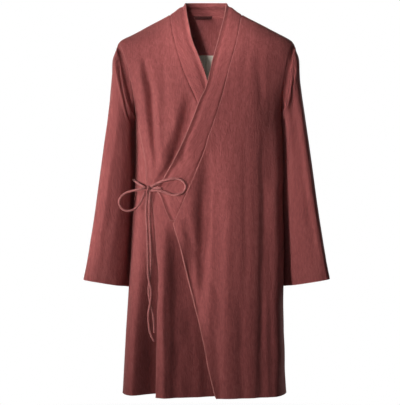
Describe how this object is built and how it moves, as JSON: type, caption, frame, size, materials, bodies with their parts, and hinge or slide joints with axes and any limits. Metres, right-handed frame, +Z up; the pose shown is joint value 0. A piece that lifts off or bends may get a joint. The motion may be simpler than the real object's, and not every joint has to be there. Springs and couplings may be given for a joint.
{
  "type": "hanfu coat",
  "caption": "Long wrap coat with a crossed collar band, long set-in sleeves, a side slit and a narrow tie in a bow, filled out as if worn.",
  "frame": {"origin": "middle of the neck's base, level with the neck points of the shoulder seams, where the wearer's shoulders carry the coat", "axes": "+Z up along the coat, front towards -Y, +X towards the wearer's left"},
  "size_m": [0.661, 0.3028, 1.0594],
  "materials": {
    "coat_cloth": "slubbed linen-like weave in brick red, matt",
    "lining_cloth": "smooth cream lining",
    "tie_cloth": "the coat's cloth turned into a narrow tube"
  },
  "bodies": {
    "root": {"back": "coat_cloth", "side_panel": "coat_cloth", "under_front": "coat_cloth", "over_front": "coat_cloth", "collar_under": "coat_cloth", "collar_back": "coat_cloth", "collar_over": "coat_cloth", "back_facing": "coat_cloth", "back_lining": "lining_cloth", "hanger_loop": "coat_cloth", "sleeve_right_upper": "coat_cloth", "sleeve_right_lower": "coat_cloth", "sleeve_left_upper": "coat_cloth", "sleeve_left_lower": "coat_cloth", "tie_side": "tie_cloth", "tie_front": "tie_cloth", "tie_knot": "tie_cloth", "bow_loop_outer": "tie_cloth", "bow_loop_inner": "tie_cloth", "tie_tail_long": "tie_cloth", "tie_tail_short": "tie_cloth"}
  },
  "joints": []
}
